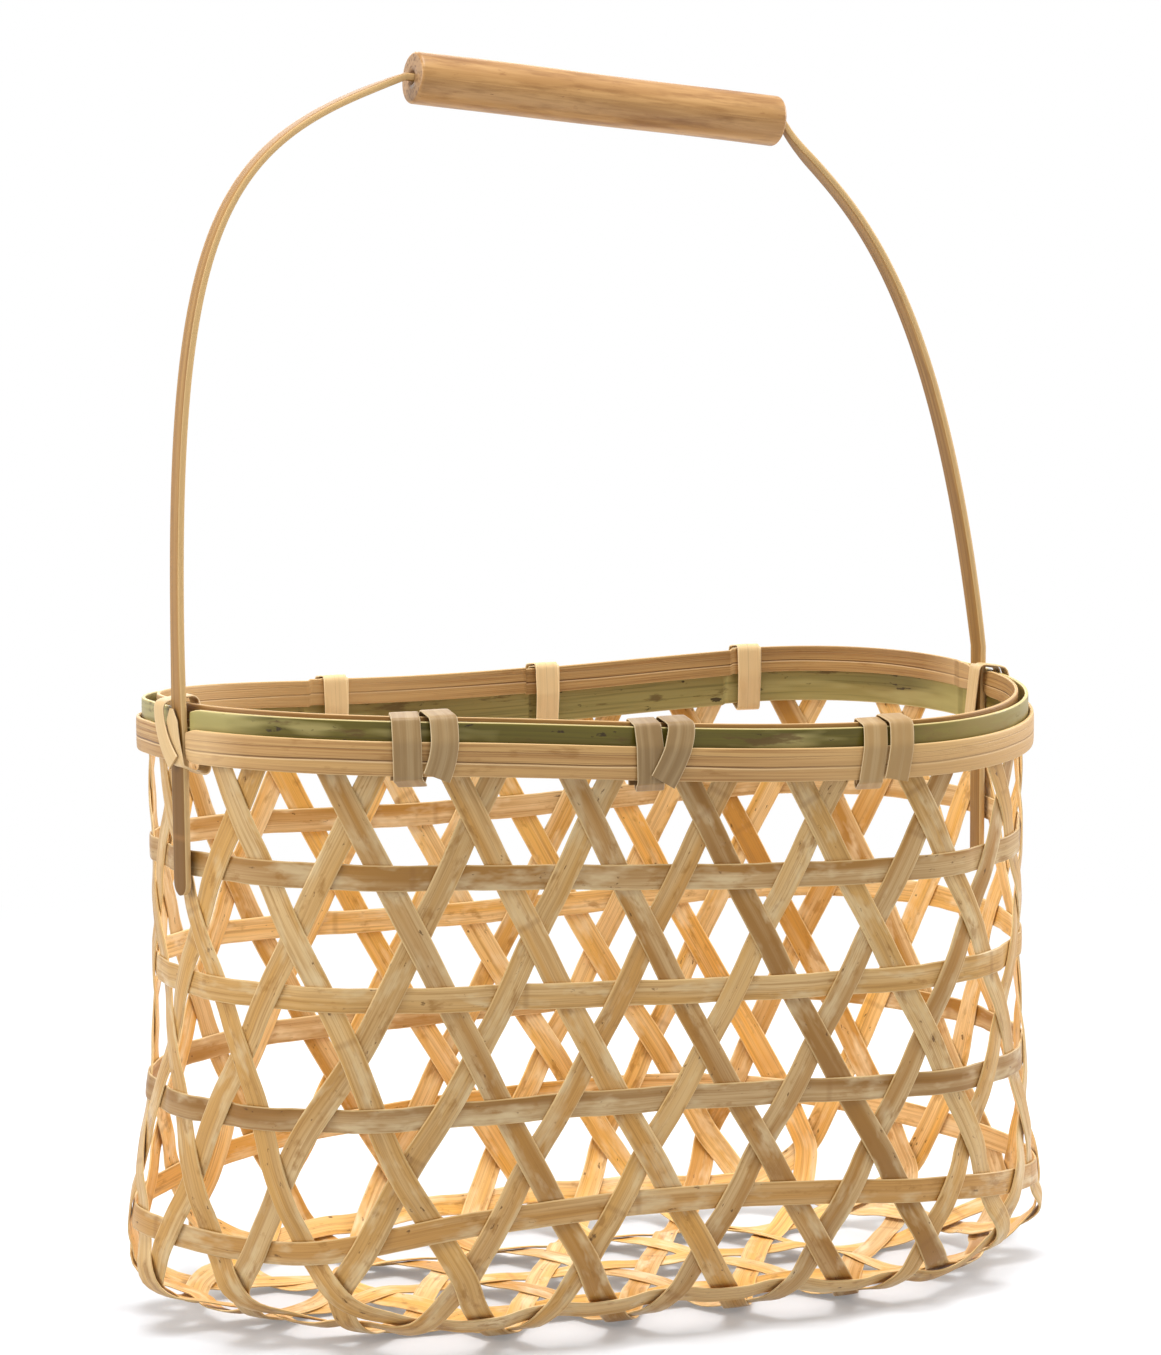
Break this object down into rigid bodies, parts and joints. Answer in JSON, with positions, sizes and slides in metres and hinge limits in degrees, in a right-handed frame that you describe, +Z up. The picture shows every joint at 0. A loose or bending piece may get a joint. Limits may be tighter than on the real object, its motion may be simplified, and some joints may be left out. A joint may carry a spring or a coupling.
{
  "type": "bamboo carrying basket",
  "caption": "Oblong open-weave bamboo basket with a lashed split rim, a bent strip handle and a wooden grip that turns on the handle.",
  "frame": {"origin": "on the floor under the middle of the base", "axes": "+X along the basket towards its right end, +Y across it away from the front, +Z up"},
  "size_m": [0.3247, 0.1666, 0.4197],
  "materials": {
    "woven_bamboo": "satin, split bamboo, untreated",
    "green_bamboo": "satin, green bamboo skin with dark blotches",
    "pale_bamboo": "matt, pale shaved bamboo",
    "handle_bamboo": "satin, bent bamboo strip",
    "grip_wood": "satin, turned wood"
  },
  "bodies": {
    "basket": {"long_strip_1": "woven_bamboo", "long_strip_2": "woven_bamboo", "long_strip_3": "woven_bamboo", "long_strip_4": "woven_bamboo", "long_strip_5": "woven_bamboo", "right_slant_strip_1": "woven_bamboo", "right_slant_strip_2": "woven_bamboo", "right_slant_strip_3": "woven_bamboo", "right_slant_strip_4": "woven_bamboo", "right_slant_strip_5": "woven_bamboo", "right_slant_strip_6": "woven_bamboo", "right_slant_strip_7": "woven_bamboo", "right_slant_strip_8": "woven_bamboo", "left_slant_strip_1": "woven_bamboo", "left_slant_strip_2": "woven_bamboo", "left_slant_strip_3": "woven_bamboo", "left_slant_strip_4": "woven_bamboo", "left_slant_strip_5": "woven_bamboo", "left_slant_strip_6": "woven_bamboo", "left_slant_strip_7": "woven_bamboo", "side_hoop_1": "woven_bamboo", "side_hoop_2": "woven_bamboo", "side_hoop_3": "woven_bamboo", "side_hoop_4": "woven_bamboo", "rim_outer_band": "woven_bamboo", "rim_outer_green_band": "green_bamboo", "rim_inner_green_band": "green_bamboo", "rim_inner_band": "woven_bamboo", "near_lashing_1": "pale_bamboo", "near_lashing_2": "pale_bamboo", "near_lashing_3": "pale_bamboo", "far_lashing_1": "pale_bamboo", "far_lashing_2": "pale_bamboo", "far_lashing_3": "pale_bamboo", "left_foot_lashing": "pale_bamboo", "right_foot_lashing": "pale_bamboo", "handle_bow": "handle_bamboo"},
    "grip": {"wooden_grip": "grip_wood"}
  },
  "joints": [
    {"name": "grip_turn", "type": "hinge", "parent": "basket", "child": "grip", "pos_m": [-0.00053, -0.01061, 0.4045], "axis": [0.9887, 0.1076, -0.1045], "continuous": true}
  ]
}
